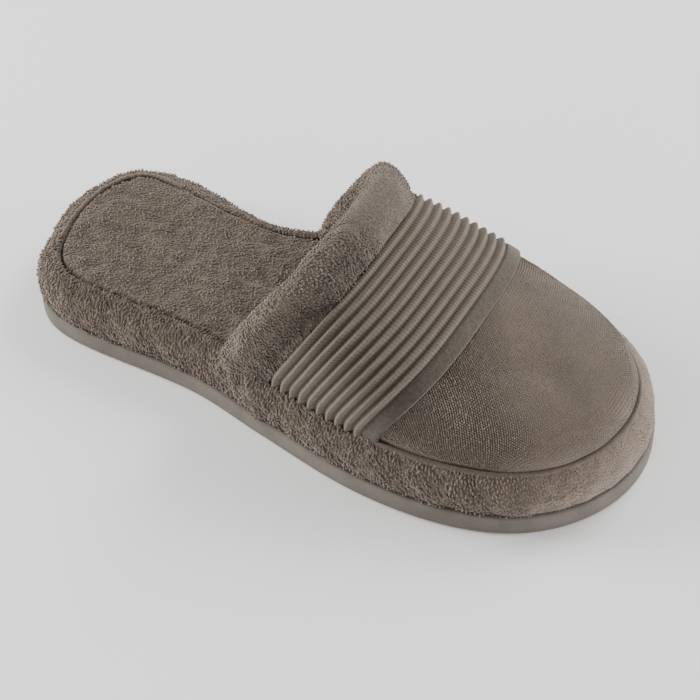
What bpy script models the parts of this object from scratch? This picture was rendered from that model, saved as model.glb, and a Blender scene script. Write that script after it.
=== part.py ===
# Terry house shoe for the right foot: a closed-toe mule with a ribbed instep and a padded cuff.
# The toe points along +X and the wearer's left side along +Y. The shoe stands on its outsole at z = 0,
# and the middle of its outline is the origin. All sizes are in metres.

from collections import namedtuple

import bmesh
import bpy
import numpy as np

# Length over all, and the gap that two pieces keep where they meet.
LENGTH = 0.265
GAP = 0.0003
SOFT_GAP = 0.0004
CUFF_GAP = 0.0005

# Outline seen from above: a row gives the half width and the middle at a share of the length.
PlanRow = namedtuple("PlanRow", "share half_width middle")
HEEL = PlanRow(0.00, 0.0, 0.0041)
PLAN = [
    PlanRow(0.14, 0.0432, 0.0013),
    PlanRow(0.32, 0.0406, -0.0019),
    PlanRow(0.48, 0.0505, 0.0003),
    PlanRow(0.64, 0.0572, -0.0006),
    PlanRow(0.80, 0.0554, -0.0007),
    PlanRow(0.92, 0.0419, -0.0003),
]
TOE = PlanRow(1.00, 0.0, 0.0011)
HEEL_RADIUS = 0.0690
TOE_RADIUS = 0.0508

# Sole: a sheet outsole, then a platform whose covering rolls over its top edge.
OUTSOLE_THICKNESS = 0.0090
OUTSOLE_EDGE_RADIUS = 0.0012
OUTSOLE_EDGE_TURNS = np.radians([0, 45, 90])
WRAP_INSET = 0.0002
# Foot of the covering, where it is pinched in above the outsole.
FootRow = namedtuple("FootRow", "inset rise")
WRAP_FOOT = [FootRow(0.0016, 0.0), FootRow(0.0006, 0.0011), FootRow(0.0002, 0.0031)]
RIM_STEPS = 6
RIM_CROWDING = 1.7
RIM_TOP = 0.0271
RIM_RADIUS = 0.0104
DECK_HEIGHT = 0.0235
LIP_ROUND = 0.0009

# Insole: a terry sock let in level with the rim. Rows go from its edge to its slightly higher middle,
# as a distance in from the edge and a drop from the top of the sock.
INSOLE_TOP = 0.0276
SockRow = namedtuple("SockRow", "inset drop")
SOCK = [
    SockRow(0.0, 0.0018),
    SockRow(0.0004, 0.0010),
    SockRow(0.0012, 0.0006),
    SockRow(0.0080, 0.0002),
    SockRow(0.0180, 0.0),
]

# Upper: it stands inside the rim. Rows give the rise of its crown above the groove.
VAMP_INSET = 0.0078
VAMP_WALL = 0.0030
GROOVE_HEIGHT = 0.0269
TOE_PROFILE_RADIUS = 0.0080
CrownRow = namedtuple("CrownRow", "share rise")
CROWN = [
    CrownRow(0.30, 0.0490),
    CrownRow(0.587, 0.0431),
    CrownRow(0.748, 0.0268),
    CrownRow(0.90, 0.0135),
]
# Roundness of the arch: 2 is an ellipse, and a higher value has fuller shoulders.
THROAT_ROUNDNESS = 3.1
TOE_ROUNDNESS = 2.1

# Edges that cross the vamp: share of the length at the sides and at the crown, and the line's bend.
Edge = namedtuple("Edge", "side top bend")
CUFF_REAR = Edge(0.397, 0.515, 1.2)
BAND_REAR = Edge(0.486, 0.587, 1.0)
BAND_FRONT = Edge(0.677, 0.748, 1.1)
EDGE_ROUNDNESS = 2.9

# Cuff: a padded fold over the throat edge, highest near its rear edge and falling away to the band.
CUFF_RISE_TOP = 0.0088
CUFF_RISE_FOOT = 0.0035
CUFF_PEAK = 0.32
CUFF_FULLNESS = 2.3
CUFF_FALL = 2.2
CUFF_END = 0.14
CUFF_INNER_THICKNESS = 0.0026
CUFF_INNER_WIDTH = 0.0150
CUFF_FOLD_DEPTH = 0.0065
CUFF_FOLD_TURNS = np.radians([90, 60, 30])
CUFF_HEM_ROUND = 0.0010
# The foot of a cuff or band slopes as the rim does at this distance in from the outline.
SEAT_TOUCH_INSET = 0.0050
# The pocket in the sole widens this far behind the foot of the throat edge.
WING_LEAD = 0.0030

# Rib band: round cords across the instep and a flat hem in front.
RIB_COUNT = 10
HEM_PITCHES = 1.6
RIB_VALLEY = 0.0008
RIB_CREST = 0.0028
HEM_RISE = 0.0024
# Points of one rib and of the hem: share of its width, and share of its height.
RibPoint = namedtuple("RibPoint", "part height")
RIB_SHAPE = [RibPoint(0.22, 0.75), RibPoint(0.5, 1.0), RibPoint(0.78, 0.75), RibPoint(1.0, 0.0)]
HEM_SHAPE = [
    RibPoint(0.12, 0.8),
    RibPoint(0.30, 1.0),
    RibPoint(0.75, 1.0),
    RibPoint(0.95, 0.8),
    RibPoint(1.0, 0.5),
]

# Faceting.
OUTLINE_POINTS = 84
FINE_OUTLINE_POINTS = 720
ARCH_STEPS = 28
VAMP_ROWS = 20
CUFF_OVER_STEPS = 10
ROW_CROWDING = 1.8
BACKING_STEPS = 6
SMOOTH_ANGLE = np.radians(40)
MERGE_DISTANCE = 1e-6
TURN_STEP = 1e-4
SURFACE_STEP = 1e-5

# Colours and roughness.
TERRY = (0.190, 0.158, 0.130, 1.0)
TERRY_DARK = (0.165, 0.136, 0.112, 1.0)
RIB_CORD = (0.205, 0.172, 0.145, 1.0)
SOLE_SHEET = (0.245, 0.225, 0.205, 1.0)
TERRY_ROUGHNESS = 0.95
CORD_ROUGHNESS = 0.85
SHEET_ROUGHNESS = 0.75


def through(knots, values, at):
    """Smooth cubic curve through the values at the knots."""
    knots = np.asarray(knots, float)
    values = np.asarray(values, float)
    slope = np.gradient(values, knots)
    i = np.clip(np.searchsorted(knots, at) - 1, 0, len(knots) - 2)
    step = knots[i + 1] - knots[i]
    t = (at - knots[i]) / step
    start = (2 * t**3 - 3 * t**2 + 1) * values[i] + (t**3 - 2 * t**2 + t) * step * slope[i]
    end = (3 * t**2 - 2 * t**3) * values[i + 1] + (t**3 - t**2) * step * slope[i + 1]
    return start + end


def plan_line(turn):
    """Plan outline: the turn runs from the heel along the left side to the toe at pi, and back."""
    share = (1 - np.cos(turn)) / 2
    fullness = [row.half_width / (2 * np.sqrt(row.share * (1 - row.share))) for row in PLAN]
    fullness = [np.sqrt(HEEL_RADIUS * LENGTH / 2), *fullness, np.sqrt(TOE_RADIUS * LENGTH / 2)]
    rows = [HEEL, *PLAN, TOE]
    knots = [row.share for row in rows]
    middle = through(knots, [row.middle for row in rows], share)
    half = np.sin(turn) * through(knots, fullness, share)
    return np.stack([(share - 0.5) * LENGTH, middle + half], axis=1)


FINE_TURNS = np.linspace(0, 2 * np.pi, FINE_OUTLINE_POINTS, endpoint=False)
FINE_LINE = plan_line(FINE_TURNS)
SIDE_SHIFT = (FINE_LINE[:, 1].max() + FINE_LINE[:, 1].min()) / 2
# The wing is the foot of the throat edge, where the pocket in the sole widens to take the vamp.
WING_SHARE = CUFF_REAR.side + CUFF_FOLD_DEPTH / LENGTH
WIDENING = np.array([CUFF_REAR.side, WING_SHARE]) - WING_LEAD / LENGTH
WING_TURNS = np.arccos(1 - 2 * WIDENING)
EVEN_TURNS = np.linspace(0, 2 * np.pi, OUTLINE_POINTS, endpoint=False)
TURNS = np.unique(np.concatenate([EVEN_TURNS, WING_TURNS, 2 * np.pi - WING_TURNS]))


def outline(inset=0.0, turns=TURNS):
    """Closed outline centred on the shoe, set in by the inset, which may differ from point to point."""
    along = plan_line(turns + TURN_STEP) - plan_line(turns - TURN_STEP)
    along /= np.linalg.norm(along, axis=1)[:, None]
    inward = np.stack([along[:, 1], -along[:, 0]], axis=1)
    line = plan_line(turns) + inward * np.broadcast_to(inset, turns.shape)[:, None]
    return line - [0.0, SIDE_SHIFT]


def share_at(x):
    return x / LENGTH + 0.5


def rim_height(inset):
    """Height of the rolled rim at a distance in from the outline."""
    lean = np.clip(1 - (inset - WRAP_INSET) / RIM_RADIUS, 0, 1)
    return RIM_TOP - RIM_RADIUS * (1 - np.sqrt(1 - lean**2))


BASE_LINE = outline(VAMP_INSET, FINE_TURNS)
BASE_LEFT = BASE_LINE[: FINE_OUTLINE_POINTS // 2 + 1]
BASE_RIGHT = np.vstack([BASE_LINE[FINE_OUTLINE_POINTS // 2 :], BASE_LINE[:1]])[::-1]
VAMP_END = BASE_LEFT[-1, 0]


def crown_rise(x):
    """Rise of the vamp's crown above the groove, which ends in a round toe."""
    shares = np.array([row.share for row in CROWN])
    reach = np.sqrt(VAMP_END - (shares - 0.5) * LENGTH)
    steepness = [row.rise / r for row, r in zip(CROWN, reach)]
    knots = [*shares, share_at(VAMP_END)]
    values = [*steepness, np.sqrt(2 * TOE_PROFILE_RADIUS)]
    share = np.clip(share_at(x), shares[0], None)
    return through(knots, values, share) * np.sqrt(np.clip(VAMP_END - x, 0, None))


def arch(angle, roundness):
    """Sideways and upward reach of the arch at an angle, on a full round of size 1."""
    c, s = np.cos(angle), np.sin(angle)
    size = (np.abs(c) ** roundness + np.abs(s) ** roundness) ** (-1 / roundness)
    return c * size, s * size


def vamp_point(x, angle):
    """Outer face of the vamp: angle 0 is the left foot of the arch and pi its right foot."""
    left = np.interp(x, BASE_LEFT[:, 0], BASE_LEFT[:, 1])
    right = np.interp(x, BASE_RIGHT[:, 0], BASE_RIGHT[:, 1])
    blend = [BAND_REAR.top, 1.0]
    roundness = np.interp(share_at(x), blend, [THROAT_ROUNDNESS, TOE_ROUNDNESS])
    side, up = arch(angle, roundness)
    y = (left + right) / 2 + (left - right) / 2 * side
    z = GROOVE_HEIGHT + crown_rise(x) * up
    return np.stack([x + 0 * y, y, z], axis=-1)


def vamp_normal(x, angle):
    """Outward direction of the vamp, which at the tip of the toe is straight ahead."""
    step = SURFACE_STEP
    tip = VAMP_END - 3 * step
    inner_x = np.minimum(x, tip)
    along = vamp_point(inner_x + step, angle) - vamp_point(inner_x - step, angle)
    across = vamp_point(inner_x, angle + step) - vamp_point(inner_x, angle - step)
    normal = np.cross(across, along)
    normal /= np.linalg.norm(normal, axis=-1)[..., None]
    at_tip = (np.asarray(x) > tip)[..., None]
    return np.where(at_tip, np.array([1.0, 0.0, 0.0]), normal)


def on_vamp(x, angle, lift):
    """Point at a distance outside the vamp's outer face, or inside it where the lift is negative."""
    return vamp_point(x, angle) + np.asarray(lift)[..., None] * vamp_normal(x, angle)


def edge_x(edge, angle):
    """Place of a crossing edge at an angle of the arch."""
    up = np.clip(arch(angle, EDGE_ROUNDNESS)[1], 0, 1)
    return (edge.side + (edge.top - edge.side) * up**edge.bend - 0.5) * LENGTH


def seat_height(lift):
    """Height on which a cuff or band ends, beside the vamp's foot: outside, the slope that touches the
    rolled rim, and inside, the level of the insole."""
    touch = SEAT_TOUCH_INSET
    slope = (rim_height(touch + GAP) - rim_height(touch - GAP)) / (2 * GAP)
    outside = rim_height(touch) + slope * (VAMP_INSET - lift - touch)
    return np.where(lift < 0, INSOLE_TOP, outside) + SOFT_GAP


def finish_solid(name, mesh_data, colour, roughness):
    """Puts a closed mesh into the scene with its own material."""
    bmesh.ops.remove_doubles(mesh_data, verts=mesh_data.verts, dist=MERGE_DISTANCE)
    bmesh.ops.dissolve_degenerate(mesh_data, edges=mesh_data.edges, dist=MERGE_DISTANCE)
    bmesh.ops.recalc_face_normals(mesh_data, faces=mesh_data.faces)
    mesh = bpy.data.meshes.new(name)
    mesh_data.to_mesh(mesh)
    mesh_data.free()
    mesh.shade_smooth()
    mesh.set_sharp_from_angle(angle=SMOOTH_ANGLE)
    material = bpy.data.materials.new(name)
    material.use_nodes = True
    shader = material.node_tree.nodes["Principled BSDF"]
    shader.inputs["Base Color"].default_value = colour
    shader.inputs["Roughness"].default_value = roughness
    shader.inputs["Metallic"].default_value = 0.0
    mesh.materials.append(material)
    piece = bpy.data.objects.new(name, mesh)
    bpy.context.scene.collection.objects.link(piece)
    piece.parent = bpy.data.objects["shoe"]
    return piece


def add_points(mesh_data, points):
    return [mesh_data.verts.new(p) for p in points]


def bridge(mesh_data, first, second, closed):
    """Faces between two rows of points, leaving out the corners where the rows touch."""
    count = len(first)
    for i in range(count if closed else count - 1):
        j = (i + 1) % count
        corners = [first[i], first[j], second[j], second[i]]
        face = []
        for corner in corners:
            if all((corner.co - other.co).length > MERGE_DISTANCE for other in face):
                face.append(corner)
        if len(face) > 2:
            mesh_data.faces.new(face)


def stacked_solid(name, rings, colour, roughness):
    """Closed solid of level rings, bottom to top, with flat ends. A ring is (inset, height)."""
    mesh_data = bmesh.new()
    rows = []
    for inset, height in rings:
        line = outline(inset)
        heights = np.broadcast_to(height, (len(line),))
        rows.append(add_points(mesh_data, np.column_stack([line, heights])))
    for lower, upper in zip(rows, rows[1:]):
        bridge(mesh_data, lower, upper, closed=True)
    mesh_data.faces.new(rows[0])
    mesh_data.faces.new(rows[-1])
    return finish_solid(name, mesh_data, colour, roughness)


def swept_solid(name, sections, end_faces, colour, roughness):
    """Closed solid of like sections, each a closed loop. Each end is filled by the faces that are listed
    as points of the loop."""
    mesh_data = bmesh.new()
    rows = [add_points(mesh_data, section) for section in sections]
    for one, other in zip(rows, rows[1:]):
        bridge(mesh_data, one, other, closed=True)
    for row in (rows[0], rows[-1]):
        for face in end_faces:
            mesh_data.faces.new([row[i] for i in face])
    return finish_solid(name, mesh_data, colour, roughness)


def make_outsole():
    insets = OUTSOLE_EDGE_RADIUS * (1 - np.sin(OUTSOLE_EDGE_TURNS))
    rises = OUTSOLE_EDGE_RADIUS * (1 - np.cos(OUTSOLE_EDGE_TURNS))
    bottom = list(zip(insets, rises))
    top = [(inset, OUTSOLE_THICKNESS - rise) for inset, rise in reversed(bottom)]
    stacked_solid("outsole", bottom + top, SOLE_SHEET, SHEET_ROUGHNESS)


def pocket_inset(share):
    """Distance in from the outline to the pocket that takes the insole and the vamp's foot."""
    at_heel = VAMP_INSET + VAMP_WALL
    at_vamp = VAMP_INSET - GAP
    return np.interp(share, WIDENING, [at_heel, at_vamp])


def make_wrapped_midsole():
    inset = pocket_inset((1 - np.cos(TURNS)) / 2)
    bottom = OUTSOLE_THICKNESS + GAP
    rings = [(row.inset, bottom + row.rise) for row in WRAP_FOOT]
    lip = inset - LIP_ROUND
    for part in np.linspace(0, 1, RIM_STEPS + 1):
        reach = WRAP_INSET + (lip - WRAP_INSET) * part**RIM_CROWDING
        rings.append((reach, rim_height(reach)))
    rings.append((inset, rim_height(inset) - LIP_ROUND))
    rings.append((inset, DECK_HEIGHT))
    stacked_solid("wrapped_midsole", rings, TERRY_DARK, TERRY_ROUGHNESS)


def make_insole():
    edge = VAMP_INSET + VAMP_WALL + SOFT_GAP
    rings = [(edge, DECK_HEIGHT + GAP)]
    rings += [(edge + row.inset, INSOLE_TOP - row.drop) for row in SOCK]
    stacked_solid("insole", rings, TERRY, TERRY_ROUGHNESS)


def vamp_grid(lift, foot):
    """Rows of points from the throat edge to the toe, each from the left foot over to the right one."""
    angles = np.linspace(0, np.pi, ARCH_STEPS + 1)
    throat = edge_x(CUFF_REAR, angles) + CUFF_FOLD_DEPTH
    rows = []
    for part in np.linspace(0, 1, VAMP_ROWS + 1):
        x = throat + (VAMP_END - throat) * (1 - (1 - part) ** ROW_CROWDING)
        arc = on_vamp(x, angles, np.full(len(x), lift))
        left_foot = [*arc[0, :2], foot]
        right_foot = [*arc[-1, :2], foot]
        rows.append(np.vstack([left_foot, arc, right_foot]))
    return rows


def make_upper():
    mesh_data = bmesh.new()
    foot = DECK_HEIGHT + GAP
    outer = [add_points(mesh_data, row) for row in vamp_grid(0.0, foot)]
    inner = [add_points(mesh_data, row) for row in vamp_grid(-VAMP_WALL, foot)]
    for face in (outer, inner):
        for rear, front in zip(face, face[1:]):
            bridge(mesh_data, rear, front, closed=False)
    bridge(mesh_data, outer[0], inner[0], closed=False)
    for side in (0, -1):
        bridge(mesh_data, [row[side] for row in outer], [row[side] for row in inner], closed=False)
    finish_solid("upper", mesh_data, TERRY, TERRY_ROUGHNESS)


def cross_sections(section_at):
    """Places a section of (x, lift) points at each step of the arch. The two ends stand on their seat."""
    angles = np.linspace(0, np.pi, ARCH_STEPS + 1)
    sections = []
    for angle in angles:
        x, lift = section_at(angle)
        points = on_vamp(x, np.full(len(x), angle), lift)
        if angle in (angles[0], angles[-1]):
            points[:, 2] = seat_height(lift)
        sections.append(points)
    return sections


def cuff_swell(over):
    """Share of the cuff's rise at a share of its width, from its rear edge to the band."""
    climb = np.clip(1 - over / CUFF_PEAK, 0, 1)
    fall = np.clip((over - CUFF_PEAK) / (1 - CUFF_PEAK), 0, 1)
    return (1 - climb**CUFF_FULLNESS) ** (1 / CUFF_FULLNESS) - (1 - CUFF_END) * fall**CUFF_FALL


def cuff_section(angle):
    """Fold around the throat edge: over the outside to the band, and a short way down the inside."""
    rear = edge_x(CUFF_REAR, angle)
    front = edge_x(BAND_REAR, angle) - SOFT_GAP
    up = np.clip(arch(angle, EDGE_ROUNDNESS)[1], 0, 1)
    rise = CUFF_RISE_FOOT + (CUFF_RISE_TOP - CUFF_RISE_FOOT) * np.sqrt(up)
    over = (1 - np.cos(np.linspace(0, np.pi, CUFF_OVER_STEPS + 1))) / 2
    outside = [(rear + (front - rear) * u, CUFF_GAP + rise * v) for u, v in zip(over, cuff_swell(over))]
    under = -VAMP_WALL - CUFF_GAP
    inside = under - CUFF_INNER_THICKNESS
    slot = rear + CUFF_FOLD_DEPTH - CUFF_GAP
    inner_front = rear + CUFF_INNER_WIDTH
    slot_and_flap = [
        ((slot + front) / 2, CUFF_GAP),
        (slot, CUFF_GAP),
        (slot, under),
        ((slot + inner_front) / 2, under),
        (inner_front, under),
        (inner_front, inside + CUFF_HEM_ROUND),
        (inner_front - CUFF_HEM_ROUND, inside),
    ]
    fold = [
        (rear + CUFF_FOLD_DEPTH * (1 - np.cos(turn)), CUFF_GAP + (inside - CUFF_GAP) * np.sin(turn))
        for turn in CUFF_FOLD_TURNS
    ]
    section = np.array(outside + slot_and_flap + fold)
    return section[:, 0], section[:, 1]


def make_collar_cuff():
    sections = cross_sections(cuff_section)
    count = len(sections[0])
    slot_corner = CUFF_OVER_STEPS + 2
    outer_end = list(range(slot_corner + 1))
    inner_end = [0, *range(slot_corner, count)]
    swept_solid("collar_cuff", sections, [outer_end, inner_end], TERRY, TERRY_ROUGHNESS)


def rib_profile():
    """Rise of the band along its width, in shares from its rear edge to its front edge."""
    pitches = RIB_COUNT + HEM_PITCHES
    profile = [(0.0, RIB_VALLEY)]
    for rib in range(RIB_COUNT):
        for point in RIB_SHAPE:
            rise = RIB_VALLEY + (RIB_CREST - RIB_VALLEY) * point.height
            profile.append(((rib + point.part) / pitches, rise))
    for point in HEM_SHAPE:
        profile.append(((RIB_COUNT + HEM_PITCHES * point.part) / pitches, HEM_RISE * point.height))
    return profile


def band_section(angle):
    rear = edge_x(BAND_REAR, angle) + SOFT_GAP
    front = edge_x(BAND_FRONT, angle)
    outside = [(rear + (front - rear) * u, SOFT_GAP + v) for u, v in rib_profile()]
    backing = [(rear + (front - rear) * u, SOFT_GAP) for u in np.linspace(1, 0, BACKING_STEPS + 1)]
    section = np.array(outside + backing)
    return section[:, 0], section[:, 1]


def make_rib_band():
    sections = cross_sections(band_section)
    swept_solid("rib_band", sections, [range(len(sections[0]))], RIB_CORD, CORD_ROUGHNESS)


def main():
    for old in list(bpy.data.objects):
        bpy.data.objects.remove(old, do_unlink=True)
    shoe = bpy.data.objects.new("shoe", None)
    bpy.context.scene.collection.objects.link(shoe)
    make_outsole()
    make_wrapped_midsole()
    make_insole()
    make_upper()
    make_rib_band()
    make_collar_cuff()


main()
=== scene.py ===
# %% [markdown]
# # A terry house shoe, dressed for its picture
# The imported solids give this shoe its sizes: a sheet outsole, a platform covered with a terry strip, a
# sock, a hollow upper, a band of cords and a padded cuff. This lesson lays cloth over them. Each piece
# is a grid that is carried onto the shoe's own form, and then thousands of small yarn loops are sown
# on it, because terry is seen by its loops.

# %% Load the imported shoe
import math
from collections import namedtuple

import bpy
import numpy as np
from mathutils import Matrix, Vector
from mathutils.kdtree import KDTree


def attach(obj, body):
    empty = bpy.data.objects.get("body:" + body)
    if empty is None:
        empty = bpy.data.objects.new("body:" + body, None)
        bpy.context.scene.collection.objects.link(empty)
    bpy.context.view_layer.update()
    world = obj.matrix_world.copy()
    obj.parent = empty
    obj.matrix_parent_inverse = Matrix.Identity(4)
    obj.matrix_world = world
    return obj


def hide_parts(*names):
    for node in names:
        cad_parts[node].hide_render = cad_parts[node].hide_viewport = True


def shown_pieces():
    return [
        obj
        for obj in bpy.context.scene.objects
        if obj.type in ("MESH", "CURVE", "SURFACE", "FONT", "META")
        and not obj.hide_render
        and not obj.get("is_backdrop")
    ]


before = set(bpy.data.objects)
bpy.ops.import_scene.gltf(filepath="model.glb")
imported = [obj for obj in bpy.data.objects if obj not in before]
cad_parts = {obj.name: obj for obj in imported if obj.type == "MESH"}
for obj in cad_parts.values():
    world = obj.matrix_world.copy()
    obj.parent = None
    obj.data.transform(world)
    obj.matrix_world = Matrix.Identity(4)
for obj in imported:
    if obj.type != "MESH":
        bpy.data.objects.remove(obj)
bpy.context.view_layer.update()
bpy.ops.object.select_all(action="DESELECT")

# %% [markdown]
# ## Camera
# The picture looks down on the toe from the right, at about 44 degrees, from less than a metre away.
# A camera could be set by eye, but the fit of the outline gives its place and turn. It keeps that place
# and is turned a little to put the one shoe in the middle, which also rolls it slightly.

# %% Camera
PHOTO_ELEVATION = math.radians(44.25)
PHOTO_TURN = math.radians(27.19)
CAMERA_PLACE = Vector((0.2949, -0.4800, 0.6060))
CAMERA_AIM = Vector((0.011, -0.007, 0.017))

rise, level = math.sin(PHOTO_ELEVATION), math.cos(PHOTO_ELEVATION)
photo_right = Vector((math.cos(PHOTO_TURN), math.sin(PHOTO_TURN), 0.0))
photo_up = Vector((-rise * math.sin(PHOTO_TURN), rise * math.cos(PHOTO_TURN), level))
photo_back = photo_right.cross(photo_up)
photo_pose = Matrix((photo_right, photo_up, photo_back)).transposed().to_quaternion()
turn_to_shoe = (-photo_back).rotation_difference(CAMERA_AIM - CAMERA_PLACE)

bpy.ops.object.camera_add(location=CAMERA_PLACE)
camera = bpy.context.object
camera.rotation_mode = "QUATERNION"
camera.rotation_quaternion = turn_to_shoe @ photo_pose
camera.data.sensor_width = 36.0
camera.data.lens = 106.0
camera.data.clip_start = 0.01
bpy.context.scene.camera = camera
print("camera distance in m:", round((CAMERA_AIM - CAMERA_PLACE).length, 3))

# %% [markdown]
# ## Floor and light
# The shoe stands on a plain pale floor. The light is broad and soft and comes from all round, so deep
# places such as the valleys between cords are dark, and painted shade darkens them further. The key
# stands behind, on the far side, so the slopes towards us are darker. A low lamp ahead of the toe makes
# its front the lightest place, one behind the heel and a painted highlight pick out the cuff's rear edge,
# and a weak one close to the floor lights our side of the strip.

# %% Floor and light
FLOOR_DROP = 0.0002

bpy.ops.mesh.primitive_plane_add(size=8.0, location=(0, 0, -FLOOR_DROP))
floor = bpy.context.object
floor.name = "floor"
floor_paint = bpy.data.materials.new("pale_floor")
floor_paint.use_nodes = True
floor_shader = floor_paint.node_tree.nodes["Principled BSDF"]
floor_shader.inputs["Base Color"].default_value = (0.93, 0.925, 0.92, 1.0)
floor_shader.inputs["Roughness"].default_value = 0.9
floor.data.materials.append(floor_paint)
floor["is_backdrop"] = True

world = bpy.data.worlds.new("studio")
bpy.context.scene.world = world
world.use_nodes = True
sky = world.node_tree.nodes["Background"]
sky.inputs["Color"].default_value = (1.0, 0.99, 0.98, 1.0)
sky.inputs["Strength"].default_value = 0.60

Lamp = namedtuple("Lamp", "name place size power")
LAMPS = [
    Lamp("key_behind", (0.35, 1.00, 0.90), 0.7, 14.0),
    Lamp("side_ahead", (1.32, 0.46, 0.17), 0.6, 27.5),
    Lamp("heel_side", (-1.05, -0.30, 0.48), 0.6, 20.0),
    Lamp("near_low", (-0.15, -1.25, 0.14), 0.8, 9.0),
]
for lamp in LAMPS:
    bpy.ops.object.light_add(type="AREA", location=lamp.place)
    light = bpy.context.object
    light.name = lamp.name
    light.data.size = lamp.size
    light.data.energy = lamp.power
    light.rotation_mode = "QUATERNION"
    light.rotation_quaternion = (-Vector(lamp.place)).to_track_quat("-Z", "Y")
print("lamps:", [lamp.name for lamp in LAMPS])

# %% [markdown]
# ## The last
# A shoe is shaped on a last. Here the last is a set of functions: the outline of the sole, the height of
# its rolled rim, and the arch of the upper at each place along the foot. They repeat the sizes of the
# solids, in metres, so that all the cloth lies where the solids are. The toe points along +X, and the
# wearer's left side lies along +Y.

# %% Outline of the sole
LENGTH = 0.265
PlanRow = namedtuple("PlanRow", "share half_width middle")
HEEL = PlanRow(0.00, 0.0, 0.0041)
PLAN = [
    PlanRow(0.14, 0.0432, 0.0013),
    PlanRow(0.32, 0.0406, -0.0019),
    PlanRow(0.48, 0.0505, 0.0003),
    PlanRow(0.64, 0.0572, -0.0006),
    PlanRow(0.80, 0.0554, -0.0007),
    PlanRow(0.92, 0.0419, -0.0003),
]
TOE = PlanRow(1.00, 0.0, 0.0011)
HEEL_RADIUS = 0.0690
TOE_RADIUS = 0.0508


def column(rows, name):
    """One named column of a table."""
    return np.array([getattr(row, name) for row in rows])


def through(knots, values, at):
    """Smooth cubic curve through the values at the knots."""
    knots = np.asarray(knots, float)
    values = np.asarray(values, float)
    slope = np.gradient(values, knots)
    i = np.clip(np.searchsorted(knots, at) - 1, 0, len(knots) - 2)
    step = knots[i + 1] - knots[i]
    t = (at - knots[i]) / step
    start = (2 * t**3 - 3 * t**2 + 1) * values[i] + (t**3 - 2 * t**2 + t) * step * slope[i]
    end = (3 * t**2 - 2 * t**3) * values[i + 1] + (t**3 - t**2) * step * slope[i + 1]
    return start + end


def middle_line(share):
    """Middle of the sole from side to side, at a share of its length."""
    rows = [HEEL, *PLAN, TOE]
    return through(column(rows, "share"), column(rows, "middle"), share)


def plan_line(turn):
    """The turn runs from the heel along the left side to the toe at pi, and back along the right."""
    share = (1 - np.cos(turn)) / 2
    fullness = [row.half_width / (2 * np.sqrt(row.share * (1 - row.share))) for row in PLAN]
    fullness = [np.sqrt(HEEL_RADIUS * LENGTH / 2), *fullness, np.sqrt(TOE_RADIUS * LENGTH / 2)]
    half = np.sin(turn) * through(column([HEEL, *PLAN, TOE], "share"), fullness, share)
    return np.stack([(share - 0.5) * LENGTH, middle_line(share) + half], axis=-1)


ROUND = np.linspace(0, 2 * np.pi, 1440, endpoint=False)
round_line = plan_line(ROUND)
SIDE_SHIFT = (round_line[:, 1].max() + round_line[:, 1].min()) / 2


def unit(vectors):
    return vectors / np.maximum(np.linalg.norm(vectors, axis=-1), 1e-12)[..., None]


def outline(inset, turn):
    """Outline of the sole, set in by the inset."""
    small = 1e-4
    along = unit(plan_line(turn + small) - plan_line(turn - small))
    inward = np.stack([along[..., 1], -along[..., 0]], axis=-1)
    line = plan_line(turn) + inward * np.asarray(inset)[..., None]
    return line - [0.0, SIDE_SHIFT]


def sides(inset):
    """The outline's left and right half as rows of (x, y), heel to toe."""
    line = outline(np.full(len(ROUND), inset), ROUND)
    half = len(ROUND) // 2
    return line[: half + 1], np.vstack([line[half:], line[:1]])[::-1]


print("outline width in mm:", round(1000 * np.ptp(round_line[:, 1]), 1))

# %% Arch of the upper
VAMP_INSET = 0.0078
VAMP_WALL = 0.0030
GROOVE_HEIGHT = 0.0269
TOE_PROFILE_RADIUS = 0.0080
CrownRow = namedtuple("CrownRow", "share rise")
CROWN = [
    CrownRow(0.30, 0.0490),
    CrownRow(0.587, 0.0431),
    CrownRow(0.748, 0.0268),
    CrownRow(0.90, 0.0135),
]
THROAT_ROUNDNESS = 3.1
TOE_ROUNDNESS = 2.1
FOOT_LEFT, FOOT_RIGHT = sides(VAMP_INSET)
VAMP_END = FOOT_LEFT[-1, 0]

Edge = namedtuple("Edge", "side top bend")
CUFF_REAR = Edge(0.397, 0.515, 1.2)
BAND_REAR = Edge(0.486, 0.587, 1.0)
BAND_FRONT = Edge(0.677, 0.748, 1.1)
EDGE_ROUNDNESS = 2.9


def share_at(x):
    return x / LENGTH + 0.5


def crown_rise(x):
    """Rise of the crown above the groove, which ends in a round toe."""
    shares = column(CROWN, "share")
    steepness = column(CROWN, "rise") / np.sqrt(VAMP_END - (shares - 0.5) * LENGTH)
    values = [*steepness, np.sqrt(2 * TOE_PROFILE_RADIUS)]
    share = np.clip(share_at(x), shares[0], None)
    return through([*shares, share_at(VAMP_END)], values, share) * np.sqrt(np.clip(VAMP_END - x, 0, None))


def arch(angle, roundness):
    c, s = np.cos(angle), np.sin(angle)
    size = (np.abs(c) ** roundness + np.abs(s) ** roundness) ** (-1 / roundness)
    return c * size, s * size


def vamp_point(x, angle):
    """Outer face of the vamp: angle 0 is the left foot of the arch and pi its right foot."""
    left = np.interp(x, FOOT_LEFT[:, 0], FOOT_LEFT[:, 1])
    right = np.interp(x, FOOT_RIGHT[:, 0], FOOT_RIGHT[:, 1])
    roundness = np.interp(share_at(x), [BAND_REAR.top, 1.0], [THROAT_ROUNDNESS, TOE_ROUNDNESS])
    side, up = arch(angle, roundness)
    y = (left + right) / 2 + (left - right) / 2 * side
    z = GROOVE_HEIGHT + crown_rise(x) * up
    return np.stack([x + 0 * y, y, z], axis=-1)


def vamp_normal(x, angle):
    small = 1e-5
    tip = VAMP_END - 3 * small
    near = np.minimum(x, tip)
    along = vamp_point(near + small, angle) - vamp_point(near - small, angle)
    across = vamp_point(near, angle + small) - vamp_point(near, angle - small)
    return np.where((x > tip)[..., None], np.array([1.0, 0.0, 0.0]), unit(np.cross(across, along)))


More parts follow.
